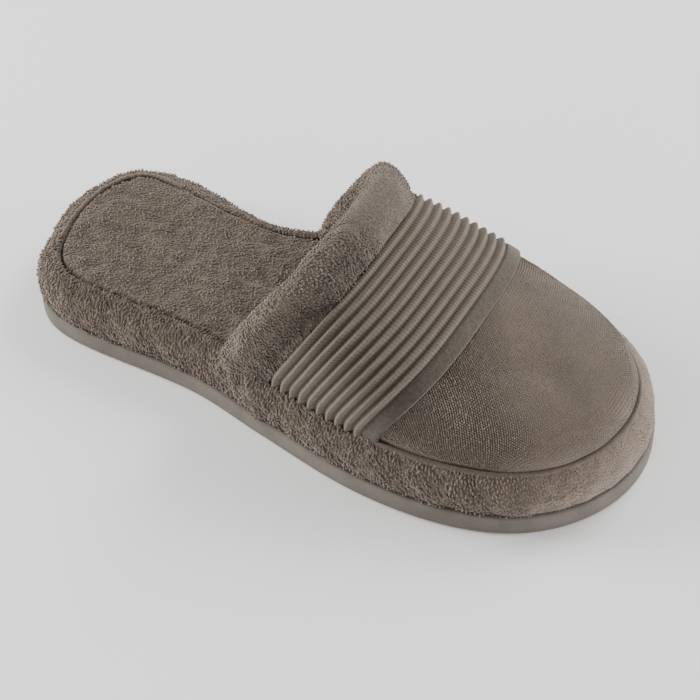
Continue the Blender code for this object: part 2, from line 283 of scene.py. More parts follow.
def on_vamp(x, angle, lift):
    return vamp_point(x, angle) + np.asarray(lift)[..., None] * vamp_normal(x, angle)


def edge_x(edge, angle):
    """Place of an edge that crosses the vamp, at an angle of the arch."""
    up = np.clip(arch(angle, EDGE_ROUNDNESS)[1], 0, 1)
    return (edge.side + (edge.top - edge.side) * up**edge.bend - 0.5) * LENGTH


print("vamp ends in mm at", round(1000 * VAMP_END, 1))

# %% [markdown]
# ## Laying cloth and pressing creases
# By hand, cloth would be modelled by pulling points. A grid whose points are carried over by a form, a
# function of two shares, does the same evenly. Creases are listed: a row is a line on the shoe, with the
# width of its soft slope and its rise, which is below zero for a trough. Ripples are the small
# unevenness that no hand would place: a row gives their size across and their height.

# %% Tools for cloth
def read_points(piece):
    flat = np.zeros(3 * len(piece.data.vertices))
    piece.data.vertices.foreach_get("co", flat)
    return flat.reshape(-1, 3)


def write_points(piece, points):
    piece.data.vertices.foreach_set("co", np.asarray(points, np.float32).ravel())
    piece.data.update()


def carry(mesh, name, values):
    """Lets each point of a mesh carry a value."""
    attribute = mesh.attributes.new(name, "FLOAT", "POINT")
    attribute.data.foreach_set("value", np.asarray(values, np.float32).ravel())


def lay_grid(name, form, cells, shade=None):
    """A flat grid carried to the form. The cells are its columns, along u, and its rows, along v, both
    from 0 to 1. Points may carry a shade, a function of u and v."""
    bpy.ops.mesh.primitive_grid_add(x_subdivisions=cells[0], y_subdivisions=cells[1], size=2.0)
    piece = bpy.context.object
    piece.name = piece.data.name = name
    u, v = (read_points(piece)[:, :2].T + 1) / 2
    write_points(piece, form(u, v))
    if shade is not None:
        carry(piece.data, "shade", shade(u, v))
    return piece


def tidy_mesh(merge=2e-5, fill=False, outward=True):
    """Joins the active mesh at its seams, closes open ends if asked, and turns its faces outwards."""
    bpy.ops.object.mode_set(mode="EDIT")
    bpy.ops.mesh.select_all(action="SELECT")
    bpy.ops.mesh.remove_doubles(threshold=merge)
    bpy.ops.mesh.dissolve_degenerate(threshold=merge / 10)
    if fill:
        bpy.ops.mesh.select_all(action="DESELECT")
        bpy.ops.mesh.select_mode(type="EDGE")
        bpy.ops.mesh.select_non_manifold()
        bpy.ops.mesh.edge_face_add()
        bpy.ops.mesh.select_mode(type="VERT")
    bpy.ops.mesh.select_all(action="SELECT")
    if outward:
        bpy.ops.mesh.normals_make_consistent(inside=False)
    bpy.ops.object.mode_set(mode="OBJECT")
    bpy.ops.object.shade_smooth()


def triangles(piece):
    return sum(len(face.vertices) - 2 for face in piece.data.polygons)


def make_slab(height):
    """Extrudes the active sheet straight up, or down, to a closed slab."""
    bpy.ops.object.mode_set(mode="EDIT")
    bpy.ops.mesh.select_all(action="SELECT")
    bpy.ops.mesh.extrude_region_move(TRANSFORM_OT_translate={"value": (0, 0, height)})
    bpy.ops.mesh.select_all(action="SELECT")
    bpy.ops.mesh.normals_make_consistent(inside=False)
    bpy.ops.object.mode_set(mode="OBJECT")


def thicken(piece, thickness):
    """Gives a sheet its thickness on the inner side."""
    wall = piece.modifiers.new("wall", "SOLIDIFY")
    wall.thickness = thickness
    wall.offset = -1.0
    bpy.ops.object.modifier_apply(modifier=wall.name)


print("floor has", triangles(floor), "triangles")


# %% Creases and ripples
def frame_on(form, u, v):
    """Points of a form, with its unit direction along u and outwards."""
    small = 4e-4
    u0, u1 = np.clip(u - small, 0, 1), np.clip(u + small, 0, 1)
    v0, v1 = np.clip(v - small, 0, 1), np.clip(v + small, 0, 1)
    along_u = form(u1, v) - form(u0, v)
    along_v = form(u, v1) - form(u, v0)
    return form(u, v), unit(along_u), unit(np.cross(along_u, along_v))


Crease = namedtuple("Crease", "start end width rise")


def crease_rise(points, creases):
    """Sum of soft ridges and troughs at the points."""
    total = np.zeros(len(points))
    for crease in creases:
        start, end = np.array(crease.start), np.array(crease.end)
        line = end - start
        t = np.clip((points - start) @ line / (line @ line), 0, 1)
        distance = np.linalg.norm(points - start - t[:, None] * line, axis=1)
        total += crease.rise * np.exp(-((distance / crease.width) ** 2))
    return total


Ripple = namedtuple("Ripple", "size height seed")
RIPPLE_WAVES = 7


def ripple(points, size, seed):
    """Soft unevenness, mostly from -1 to 1, made of a few crossing waves."""
    rng = np.random.default_rng(seed)
    total = np.zeros(len(points))
    for _ in range(RIPPLE_WAVES):
        wave = rng.normal(size=3)
        wave *= rng.uniform(0.7, 1.4) * 2 * np.pi / size / np.linalg.norm(wave)
        total += np.sin(points @ wave + rng.uniform(0, 2 * np.pi))
    return total / (RIPPLE_WAVES / 2)


def rippled(points, *rows):
    """Sum of several ripples, each at its own height."""
    return sum(row.height * ripple(points, row.size, row.seed) for row in rows)


def pressed(form, lift):
    """The form with each point moved outwards by the lift at that point."""

    def raised(u, v):
        point, _, out = frame_on(form, u, v)
        return point + out * lift(point, u, v)[:, None]

    return raised


round_points = np.column_stack([round_line, np.zeros(len(round_line))])
print("along the outline a ripple reaches", np.abs(ripple(round_points, 0.03, 1)).max().round(2))

# %% [markdown]
# ## Padding
# Padding and foam push their cover out between its seams, and the cover is cut a little too large, so it
# swells unevenly. Waves of displacement could stand for that, but a cloth simulation gives the real
# thing: the form is a sheet that is held along its seams and blown out by a little pressure, with no
# weight. How far each point moved, up to a cap, is then added to the form, so that the loops follow it.

# %% Blowing a cover out
PAD_STEPS = 20


def between(table, u, v):
    """Value at two shares from 0 to 1 of a table of points, from the four entries round it."""
    a, b = np.clip(u, 0, 1) * (table.shape[0] - 1), np.clip(v, 0, 1) * (table.shape[1] - 1)
    i, j = np.minimum(a.astype(int), table.shape[0] - 2), np.minimum(b.astype(int), table.shape[1] - 2)
    s, t = (a - i)[:, None], (b - j)[:, None]
    low = table[i, j] * (1 - s) + table[i + 1, j] * s
    return low * (1 - t) + (table[i, j + 1] * (1 - s) + table[i + 1, j + 1] * s) * t


def blown_out(laid, u_seam, v_seams, cells, cap):
    """The form with its cover blown out. The cover is sewn along one line of u and two lines of v, and
    the cap is a function of its points."""
    low, span = v_seams[0], v_seams[1] - v_seams[0]
    columns, rows = cells

    def cover_place(u, v):
        u, v = u_seam + u, low + span * v
        return laid(np.where(u > 1, u - 1, u), np.where(v < 0, v + 1, v))

    cover = lay_grid("cover", cover_place, cells)
    start = read_points(cover)
    at_v, at_u = np.divmod(np.arange(len(start)), columns + 1)
    sewn = (at_u == 0) | (at_u == columns) | (at_v == 0) | (at_v == rows)
    cover.vertex_groups.new(name="sewn").add(np.flatnonzero(sewn).tolist(), 1.0, "REPLACE")
    cloth = cover.modifiers.new("padding", "CLOTH")
    cloth.settings.quality = 5
    cloth.settings.mass = 0.05
    cloth.settings.vertex_group_mass = "sewn"
    cloth.settings.use_pressure = True
    cloth.settings.uniform_pressure_force = 10.0
    cloth.settings.shrink_min = -0.02
    cloth.settings.effector_weights.gravity = 0.0
    cloth.collision_settings.use_collision = False
    for step in range(1, PAD_STEPS + 1):
        bpy.context.scene.frame_set(step)
    bpy.ops.object.modifier_apply(modifier=cloth.name)
    move = read_points(cover) - start
    bpy.data.objects.remove(cover, do_unlink=True)
    bpy.context.scene.frame_set(1)
    far = np.maximum(np.linalg.norm(move, axis=1), 1e-9)
    most = cap(start)
    move *= (most * np.tanh(far / most) / far)[:, None]
    table = move.reshape(rows + 1, columns + 1, 3).transpose(1, 0, 2)
    print("blown out by at most", round(1000 * np.linalg.norm(move, axis=1).max(), 2), "mm")

    def padded(u, v):
        share_u = np.where(u < u_seam, u + 1, u) - u_seam
        share_v = (v - low) % 1.0 / span
        return laid(u, v) + between(table, share_u, share_v) * (share_v <= 1)[:, None]

    return padded


print("padding is blown out in", PAD_STEPS, "steps")

# %% [markdown]
# ## Yarn loops
# Terry is a ground cloth with loops of yarn standing on it. Hair particles could draw them, but they
# don't become a mesh. One loop is modelled once, from a tiny sphere of three sides that is bowed over,
# and it is then copied many times into one joined mesh. The places come from a fine scatter that is
# thinned until no two loops are closer than the cloth's spacing. Each loop carries a shade, lighter or
# darker than its neighbours at random and by painted light and shade, and the depth of its points from
# tip to root, by which its finish paints shade at the roots.

# %% One loop
bpy.ops.mesh.primitive_uv_sphere_add(segments=3, ring_count=4, radius=1.0)
one_loop = bpy.context.object
bpy.ops.object.mode_set(mode="EDIT")
bpy.ops.mesh.select_all(action="SELECT")
bpy.ops.mesh.quads_convert_to_tris()
bpy.ops.object.mode_set(mode="OBJECT")
LOOP_POINTS = read_points(one_loop)
LOOP_FACES = np.array([list(face.vertices) for face in one_loop.data.polygons])
bpy.data.objects.remove(one_loop, do_unlink=True)
LOOP_SIDE, LOOP_DEEP, LOOP_RUN = LOOP_POINTS.T
LOOP_BOW = 1 - LOOP_RUN**2
print("one loop has", len(LOOP_FACES), "triangles")


# %% Places for loops
def thin_out(points, spacing, order):
    """Keeps points in the given order, as long as no kept one is closer than the spacing there."""
    tree = KDTree(len(points))
    for i, point in enumerate(points):
        tree.insert(point, i)
    tree.balance()
    spacing = np.broadcast_to(spacing, len(points))
    free = np.ones(len(points), bool)
    kept = []
    for i in order:
        if free[i]:
            kept.append(i)
            for _, j, _ in tree.find_range(points[i], spacing[i]):
                free[j] = False
    return np.array(kept)


def scatter(form, spacing, cells, seed, u_range=(0.0, 1.0), v_range=(0.0, 1.0), tall=1.0):
    """Places on a form for loops, as shares u and v: one at random in each cell, thinned to the spacing,
    a function of the points. Upwards the spacing is taller by the given factor."""
    rng = np.random.default_rng(seed)
    columns, rows = cells
    u = (np.arange(columns) + 0.5) / columns
    v = (np.arange(rows) + 0.5) / rows
    u, v = (a.ravel() for a in np.meshgrid(u, v))
    u = u + rng.uniform(-0.5, 0.5, len(u)) / columns
    v = v + rng.uniform(-0.5, 0.5, len(v)) / rows
    u = u_range[0] + (u_range[1] - u_range[0]) * u
    v = v_range[0] + (v_range[1] - v_range[0]) * v
    points = form(u, v)
    kept = thin_out(points * [1, 1, 1 / tall], spacing(points), rng.permutation(len(points)))
    return u[kept], v[kept]


apart = thin_out(round_points, 0.005, range(len(round_points)))
print("points 5 mm apart on the outline:", len(apart))

# %% Sowing loops
Loop = namedtuple("Loop", "length yarn height heading wander lean")
LOOP_SUNK = 0.35
LOOP_TONE = 0.7
LOOP_PATCH = 0.007
SHADES = (-4.0, 2.0)


def sow_loops(name, form, places, loop, size, seed, painted_light=0.0):
    """Joined mesh of loops on a form. A loop's heading is its turn from the u direction, in radians, and
    the painted light shifts its shade: above zero a painted highlight, below zero painted shade."""
    rng = np.random.default_rng(seed)
    point, along_u, out = frame_on(form, *places)
    count = len(point)

    def vary(spread):
        return rng.uniform(1 - spread, 1 + spread, count)

    turn = loop.heading + rng.normal(0, loop.wander, count)
    across = np.cross(out, along_u)
    run = np.cos(turn)[:, None] * along_u + np.sin(turn)[:, None] * across
    side = np.cross(out, run)
    size = size * vary(0.2)
    half = (loop.length / 2 * size)[:, None]
    thick = (loop.yarn / 2 * size * vary(0.15))[:, None]
    tall = (loop.height * size * vary(0.25))[:, None]
    ahead = half * LOOP_RUN + loop.lean * tall * LOOP_BOW
    up = tall * (LOOP_BOW - LOOP_SUNK) + thick * LOOP_DEEP
    shift = ahead[..., None] * run[:, None] + (thick * LOOP_SIDE)[..., None] * side[:, None]
    corners = point[:, None] + shift + up[..., None] * out[:, None]
    faces = LOOP_FACES[None] + len(LOOP_POINTS) * np.arange(count)[:, None, None]
    mesh = bpy.data.meshes.new(name)
    mesh.from_pydata(corners.reshape(-1, 3).tolist(), [], faces.reshape(-1, 3).tolist())
    mesh.shade_smooth()
    # Random tone and soft patches, plus the painted light and shade that is passed in.
    tone = LOOP_TONE * rng.normal(0, 1, count) + ripple(point, LOOP_PATCH, seed + 100) + painted_light
    carry(mesh, "shade", np.repeat(tone.clip(*SHADES), len(LOOP_POINTS)))
    # The depth from tip to root is what paints shade at the roots.
    carry(mesh, "depth", np.tile(np.clip(1 - LOOP_BOW - 0.5 * LOOP_DEEP, 0, 1), count))
    piece = bpy.data.objects.new(name, mesh)
    bpy.context.scene.collection.objects.link(piece)
    print(name, count, "loops")
    return piece


print("shades of a loop run from", SHADES[0], "to", SHADES[1])

# %% [markdown]
# ## Finishes
# The cloth is one taupe cotton. Its loops catch the light at their tips and get painted shade at their
# roots, so the loop material reads the depth and the shade, with its painted light and shade, that each
# loop carries. The ground cloth under them is darker and has a fine bump. Towards the front of the toe
# the strip is brushed smooth, so its ground turns even and light there, and the cuff's ground gets
# painted light and shade, darkest in the valley behind the cords. Noise on the piece's own coordinates
# gives the patches, and cotton fuzz gives a little sheen.

# %% Tools for finishes
TAUPE = (0.158, 0.118, 0.090)


def tinted(colour, share):
    return (colour[0] * share, colour[1] * share, colour[2] * share, 1.0)


def grey(share):
    return tinted((1.0, 1.0, 1.0), share)


def new_material(name, roughness, sheen):
    material = bpy.data.materials.new(name)
    material.use_nodes = True
    shader = material.node_tree.nodes["Principled BSDF"]
    shader.inputs["Roughness"].default_value = roughness
    shader.inputs["Specular IOR Level"].default_value = 0.2
    shader.inputs["Sheen Weight"].default_value = sheen
    shader.inputs["Sheen Roughness"].default_value = 0.6
    shader.inputs["Sheen Tint"].default_value = (0.95, 0.88, 0.80, 1.0)
    return material, material.node_tree, shader


def node(tree, kind, output, inputs, **settings):
    """One shader node. Its inputs are linked if they are sockets, and else set."""
    made = tree.nodes.new("ShaderNode" + kind)
    for name, value in settings.items():
        setattr(made, name, value)
    for name, value in inputs.items():
        if isinstance(value, bpy.types.NodeSocket):
            tree.links.new(value, made.inputs[name])
        else:
            made.inputs[name].default_value = value
    return made.outputs[output]


def noise_on(tree, scale, detail=2.0):
    """Noise on the object's own coordinates, in features per metre."""
    place = node(tree, "TexCoord", "Object", {})
    return node(tree, "TexNoise", "Fac", {"Vector": place, "Scale": scale, "Detail": detail})


def own_axis(tree, axis):
    """X, Y or Z of a point in the object's own coordinates."""
    return node(tree, "SeparateXYZ", axis, {"Vector": node(tree, "TexCoord", "Object", {})})


def carried(tree, name):
    """Value that the points carry."""
    return node(tree, "Attribute", "Fac", {}, attribute_name=name)


def rising(tree, value, low, high):
    """0 up to the low value, rising to 1 at the high one."""
    return node(tree, "MapRange", "Result", {"Value": value, "From Min": low, "From Max": high})


def worked(tree, operation, *values):
    """One step of arithmetic."""
    return node(tree, "Math", "Value", dict(enumerate(values)), operation=operation)


def mixed(tree, share, one, other, blend="MIX"):
    inputs = {0: share, 6: one, 7: other}
    return node(tree, "Mix", 2, inputs, data_type="RGBA", blend_type=blend)


def ramp(tree, value, *stops):
    """Colour between stops of (place, colour)."""
    made = tree.nodes.new("ShaderNodeValToRGB")
    elements = made.color_ramp.elements
    while len(elements) < len(stops):
        elements.new(0.5)
    for element, (place, colour) in zip(elements, stops):
        element.position = place
        element.color = colour
    tree.links.new(value, made.inputs["Fac"])
    return made.outputs["Color"]


def bumped(tree, shader, height, distance):
    inputs = {"Strength": 1.0, "Distance": distance, "Height": height}
    tree.links.new(node(tree, "Bump", "Normal", inputs), shader.inputs["Normal"])


print("taupe at half strength:", tinted(TAUPE, 0.5))

# %% Cloth finishes
PAINTED_HOLLOW_SHARE = 0.40
BRUSHED_SHARE = 0.98
BRUSHED_EVEN = 0.7
Brush = namedtuple("Brush", "start end slant middle")
STRIP_BRUSH = Brush(0.050, 0.104, 0.55, 0.015)


def shaded(tree, colour, spread):
    """The colour by the shade that a point carries, from the lightest to a painted shade for deep hollows.
    """
    shade = rising(tree, carried(tree, "shade"), *SHADES)
    low, high = tinted(colour, 1 - 0.2 * spread), tinted(colour, 1 + 0.2 * spread)
    return ramp(tree, shade, (0.0, tinted(colour, PAINTED_HOLLOW_SHARE)), (0.33, low), (1.0, high))


def loop_material(name, colour, painted_root_share, spread):
    """Yarn in soft patches, with painted shade down to a share of the colour at its roots."""
    material, tree, shader = new_material(name, roughness=0.92, sheen=0.35)
    patch = ramp(tree, noise_on(tree, 70.0, 3.0), (0.3, grey(0.86)), (0.7, grey(1.10)))
    yarn = mixed(tree, 1.0, shaded(tree, colour, spread), patch, "MULTIPLY")
    # Painted shade at the roots of the loops.
    yarn = mixed(tree, carried(tree, "depth"), yarn, tinted(colour, painted_root_share))
    tree.links.new(yarn, shader.inputs["Base Color"])
    bumped(tree, shader, noise_on(tree, 3200.0), 0.00012)
    return material


def ground_material(name, low, high, grain, depth, brushed=False, painted_shading=False):
    """Ground cloth between two shares of taupe. It may turn even and light where the strip is brushed
    smooth, or take painted light and shade, darkest in hollows, by the shade that its points carry."""
    material, tree, shader = new_material(name, roughness=0.95, sheen=0.30)
    grains = noise_on(tree, grain)
    tone = ramp(tree, grains, (0.35, tinted(TAUPE, low)), (0.65, tinted(TAUPE, high)))
    if brushed:
        aside = worked(tree, "ABSOLUTE", worked(tree, "SUBTRACT", own_axis(tree, "Y"), STRIP_BRUSH.middle))
        ahead = worked(tree, "MULTIPLY_ADD", aside, -STRIP_BRUSH.slant, own_axis(tree, "X"))
        smooth = rising(tree, ahead, STRIP_BRUSH.start, STRIP_BRUSH.end)
        tone = mixed(tree, smooth, tone, tinted(TAUPE, BRUSHED_SHARE))
        grains = worked(tree, "MULTIPLY", grains, worked(tree, "MULTIPLY_ADD", smooth, -BRUSHED_EVEN, 1.0))
    patch = ramp(tree, noise_on(tree, 60.0, 3.0), (0.3, grey(0.85)), (0.7, grey(1.1)))
    tone = mixed(tree, 1.0, tone, patch, "MULTIPLY")
    # Painted light and shade, by the shade that the points carry.
    if painted_shading:
        tone = mixed(tree, 1.0, tone, shaded(tree, (1.0, 1.0, 1.0), 1.0), "MULTIPLY")
    tree.links.new(tone, shader.inputs["Base Color"])
    bumped(tree, shader, grains, depth)
    return material


terry_loops = loop_material("terry_loops", TAUPE, painted_root_share=0.50, spread=1.0)
matted_loops = loop_material("matted_loops", tinted(TAUPE, 0.85), painted_root_share=0.95, spread=0.45)
strip_ground = ground_material("strip_ground", 0.45, 0.95, grain=1100.0, depth=0.0004, brushed=True)
cuff_ground = ground_material("cuff_ground", 0.45, 0.80, grain=1100.0, depth=0.0004, painted_shading=True)
welt_ground = ground_material("welt_ground", 0.48, 0.62, grain=1100.0, depth=0.0003)
brushed_ground = ground_material("brushed_ground", 0.54, 0.68, grain=1500.0, depth=0.00022)
print("cloth finishes:", [m.name for m in bpy.data.materials if m.name.endswith(("_loops", "_ground"))])


def dress(piece, material, slot, *nodes):
    """Gives a piece its finish, ties it to the shoe and hides the solids it stands for."""
    piece.data.materials.clear()
    piece.data.materials.append(material)
    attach(piece, "root")
    if nodes:
        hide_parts(*nodes)
    print(piece.name, triangles(piece), "triangles")


# %% [markdown]
# ## Outsole
# The shoe walks on a sheet of soft foam. Its cut edge shows all round, greyer and smoother than the
# cloth. A box could be cut to the outline, but a disc whose rim is carried to the outline is quicker. It
# is extruded to the sheet's thickness, and both edges are bevelled. The edge is darker near the floor.

# %% Outsole
OUTSOLE_THICKNESS = 0.0090
OUTSOLE_EDGE_RADIUS = 0.0012
OUTSOLE_POINTS = 300

bpy.ops.mesh.primitive_circle_add(vertices=OUTSOLE_POINTS, radius=1.0, fill_type="NGON")
sole_sheet = bpy.context.object
sole_sheet.name = sole_sheet.data.name = "sole_sheet"
disc = read_points(sole_sheet)
disc_turn = np.pi - np.arctan2(disc[:, 1], disc[:, 0])
disc_line = outline(np.zeros(len(disc)), disc_turn)
write_points(sole_sheet, np.column_stack([disc_line, np.zeros(len(disc))]))
make_slab(OUTSOLE_THICKNESS)
edge_round = sole_sheet.modifiers.new("edge_round", "BEVEL")
edge_round.width = OUTSOLE_EDGE_RADIUS
edge_round.segments = 4
edge_round.limit_method = "ANGLE"
edge_round.angle_limit = math.radians(60)
bpy.ops.object.modifier_apply(modifier=edge_round.name)
bpy.ops.object.shade_smooth_by_angle(angle=math.radians(50))

SOLE_GREY = (0.123, 0.107, 0.089)
SOLE_DARK_HEIGHT = 0.0035
sole_foam, tree, shader = new_material("sole_foam", roughness=0.72, sheen=0.05)
scuffs = noise_on(tree, 110.0, 4.0)
foam = ramp(tree, scuffs, (0.35, tinted(SOLE_GREY, 0.86)), (0.65, tinted(SOLE_GREY, 1.08)))
from_floor = rising(tree, own_axis(tree, "Z"), 0.0, SOLE_DARK_HEIGHT)
foam = mixed(tree, from_floor, tinted(SOLE_GREY, 0.78), foam)
tree.links.new(foam, shader.inputs["Base Color"])
bumped(tree, shader, noise_on(tree, 2600.0, 3.0), 0.00010)
dress(sole_sheet, sole_foam, "sole_sheet", "outsole")

# %% [markdown]
# ## Covered platform
# A strip of terry goes round the platform and rolls over its top edge into the groove where the upper
# stands. It could be a swept profile; here a grid is carried round the outline and up the profile, and
# pinched in at its foot, where it meets the foam sheet. Towards the front of the toe it is stretched
# smooth, so it swells less, and its loops are short and close, with a little painted light. On the near
# side, under the cuff, the strip's two ends meet in a soft upright ridge with short loops that carry a
# painted highlight.

# %% Profile of the strip
GAP = 0.0003
WRAP_INSET = 0.0002
WRAP_PINCH = 0.0013
WRAP_PINCH_RISE = 0.0026
RIM_TOP = 0.0271
RIM_RADIUS = 0.0104
DECK_HEIGHT = 0.0235
LipRow = namedtuple("LipRow", "turn width depth")
LIP = [
    LipRow(-1.40, 0.0014, 0.0026),
    LipRow(-1.30, 0.0014, 0.0013),
    LipRow(-0.30, 0.0014, 0.0013),
    LipRow(-0.05, 0.0026, 0.0022),
    LipRow(0.65, 0.0026, 0.0022),
    LipRow(0.95, 0.0010, 0.0005),
    LipRow(1.30, 0.0010, 0.0005),
    LipRow(1.40, 0.0014, 0.0026),
]
PILE = 0.0006
CUFF_FOLD_DEPTH = 0.0065
WING_LEAD = 0.0030
WIDENING = np.array([CUFF_REAR.side, CUFF_REAR.side + CUFF_FOLD_DEPTH / LENGTH]) - WING_LEAD / LENGTH
PROFILE_STOPS = [0.0, 0.16, 0.30, 0.84, 0.94, 1.0]


def part_way(value, low, high):
    """0 up to the low value, rising straight to 1 at the high one."""
    return np.clip((value - low) / (high - low), 0, 1)


def pocket_inset(share):
    return np.interp(share, WIDENING, [VAMP_INSET + VAMP_WALL, VAMP_INSET - GAP])


def wrap_profile(v, turn):
    """Distance in from the outline and height, from the strip's foot over the rim down to the deck."""
    bottom = OUTSOLE_THICKNESS + GAP
    pocket = pocket_inset((1 - np.cos(turn)) / 2)
    signed = (turn + np.pi) % (2 * np.pi) - np.pi
    lip = pocket - np.interp(signed, column(LIP, "turn"), column(LIP, "width"))
    depth = np.interp(signed, column(LIP, "turn"), column(LIP, "depth"))
    end = np.arccos(1 - (lip - WRAP_INSET) / RIM_RADIUS)
    a, b, c, d, e, f = PROFILE_STOPS
    pinch, side, fall, drop = part_way(v, a, b), part_way(v, b, c), part_way(v, d, e), part_way(v, e, f)
    roll = end * part_way(v, c, d)
    inset = WRAP_INSET + WRAP_PINCH * (1 - np.sin(pinch * np.pi / 2))
    inset = inset + RIM_RADIUS * (1 - np.cos(roll)) + (pocket - lip) * np.sin(fall * np.pi / 2)
    straight = RIM_TOP - RIM_RADIUS
    height = bottom + WRAP_PINCH_RISE * (1 - np.cos(pinch * np.pi / 2))
    height = height + (straight - bottom - WRAP_PINCH_RISE) * side + RIM_RADIUS * np.sin(roll)
    lip_height = height - depth * (1 - np.cos(fall * np.pi / 2))
    return inset, lip_height + (DECK_HEIGHT - lip_height) * drop


def wrap_form(u, v):
    turn = 2 * np.pi * (1 - u)
    inset, height = wrap_profile(v, turn)
    line = outline(inset, turn)
    return np.column_stack([line, height])


up_the_side = wrap_form(np.full(50, 0.25), np.linspace(0, 1, 50))
print("rim in mm:", (1000 * up_the_side[:, 2].max()).round(1))

# %% Covered platform
WRAP_CREASES = [
    Crease((-0.0068, -0.0484, 0.0090), (-0.0105, -0.0472, 0.0210), 0.0024, 0.0015),
    Crease((-0.0125, -0.0465, 0.0090), (-0.0165, -0.0455, 0.0220), 0.0016, -0.0010),
    Crease((-0.0700, -0.0410, 0.0180), (-0.0500, -0.0390, 0.0170), 0.0060, 0.0006),
    Crease((0.0200, -0.0540, 0.0220), (0.0500, -0.0550, 0.0210), 0.0050, 0.0005),
]


def on_joint(points):
    """1 on the smooth ridge where the strip's ends meet, falling to 0 beside it."""
    return crease_rise(points, WRAP_CREASES[:1]) / WRAP_CREASES[0].rise


def brushed_flat(points, brush):
    """0 where the loops stand, rising to 1 towards the front of the toe, where they lie flat."""
    ahead = points[:, 0] - brush.slant * np.abs(points[:, 1] - brush.middle)
    return part_way(ahead, brush.start, brush.end)


PILE_BRUSHED = 0.6


def wrap_lift(points, u, v):
    """Sunk by the pile's height, with creases and lumps."""
    shown = np.sin(np.pi * part_way(v, 0, PROFILE_STOPS[3]))
    lumps = shown * rippled(points, Ripple(0.034, 0.00055, 3), Ripple(0.013, 0.00032, 4))
    pile = PILE * (1 - PILE_BRUSHED * brushed_flat(points, STRIP_BRUSH))
    return crease_rise(points, WRAP_CREASES) + lumps - pile


STRIP_SWELL = 0.0010
SWELL_BRUSHED = 0.85


def strip_cap(points):
    """The strip may swell by a millimetre, but far less where it is stretched over the toe."""
    return STRIP_SWELL * (1 - SWELL_BRUSHED * brushed_flat(points, STRIP_BRUSH))


STRIP_JOINT = 0.238
STRIP_SEAMS = (0.0, PROFILE_STOPS[3])
laid_strip = pressed(wrap_form, wrap_lift)
wrap_cloth = blown_out(laid_strip, STRIP_JOINT, STRIP_SEAMS, cells=(260, 16), cap=strip_cap)
terry_strip = lay_grid("terry_strip", wrap_cloth, cells=(480, 44))
tidy_mesh(merge=5e-6, fill=True)
dress(terry_strip, strip_ground, "terry_wrap", "wrapped_midsole")

# %% Loops of the strip
STRIP_LOOP = Loop(0.0025, 0.00086, 0.0012, np.pi / 2, 0.36, 0.35)
BRUSHED_SHRINK = 0.72
FAR_SHRINK = 0.22
JOINT_SHRINK = 0.35
STRIP_SPACING = 0.00116
STRIP_CROWDING = 0.00036
STRIP_SHOWN = (0.06, 0.865)


def strip_spacing(points):
    """Loops stand closer towards the front of the toe, where the strip is stretched smooth."""
    return STRIP_SPACING - STRIP_CROWDING * brushed_flat(points, STRIP_BRUSH)


for half, u_range in (("right", (0.0, 0.5)), ("left", (0.5, 1.0))):
    places = scatter(wrap_cloth, strip_spacing, (860, 92), 11, u_range, STRIP_SHOWN, tall=1.5)
    at = wrap_cloth(*places)
    brushed, joint = brushed_flat(at, STRIP_BRUSH), on_joint(at)
    far = part_way(at[:, 1], -0.01, 0.03)
    size = (1 - BRUSHED_SHRINK * brushed) * (1 - FAR_SHRINK * far) * (1 - JOINT_SHRINK * joint)
    size = size * (1 + rippled(at, Ripple(0.0055, 0.20, 13)))
    loop = STRIP_LOOP._replace(wander=STRIP_LOOP.wander - 0.2 * brushed)
    # Painted highlight on the joint's ridge, and a little painted light where the strip is brushed.
    shade = 2 * joint + 0.2 * brushed
    loops = sow_loops("strip_loops_" + half, wrap_cloth, places, loop, size, seed=12, painted_light=shade)
    dress(loops, terry_loops, "terry_wrap")

# %% [markdown]
# ## Sock
# Inside the rim lies a terry sock that runs on under the upper to the toe. It is walked flat: its loops
# are matted and lie every way, in soft light and dark patches, and it is a little hollow under heel and
# ball. Its edge dips into the groove, but hardly so on the far side between heel and cuff. A filled
# outline would do for a flat sock; a grid in rings, from its edge inwards, keeps the border clean.

# %% Sock
INSOLE_TOP = 0.0276
SOCK_INSET = VAMP_INSET + VAMP_WALL + 0.0004
SOCK_RIM = 0.0090
SOCK_SPINE = (-0.088, 0.076)
SockRow = namedtuple("SockRow", "inset drop")
SOCK = [
    SockRow(0.0, 0.0020),
    SockRow(0.0005, 0.0011),
    SockRow(0.0014, 0.0006),
    SockRow(0.0080, 0.0001),
    SockRow(0.0090, 0.0),
]
Hollow = namedtuple("Hollow", "x y reach depth")
HOLLOWS = [
    Hollow(-0.088, 0.002, 0.030, 0.0008),
    Hollow(-0.030, -0.006, 0.028, 0.0004),
    Hollow(0.048, 0.0, 0.034, 0.0008),
]
SOCK_THICKNESS = 0.0016
SOCK_SHALLOW = 0.90
SHALLOW_TURNS = (0.70, 0.95, 1.25, 1.40)
PLATEAU = (0.0, 1.0, 1.0, 0.0)
SOCK_PILE = 0.5 * PILE


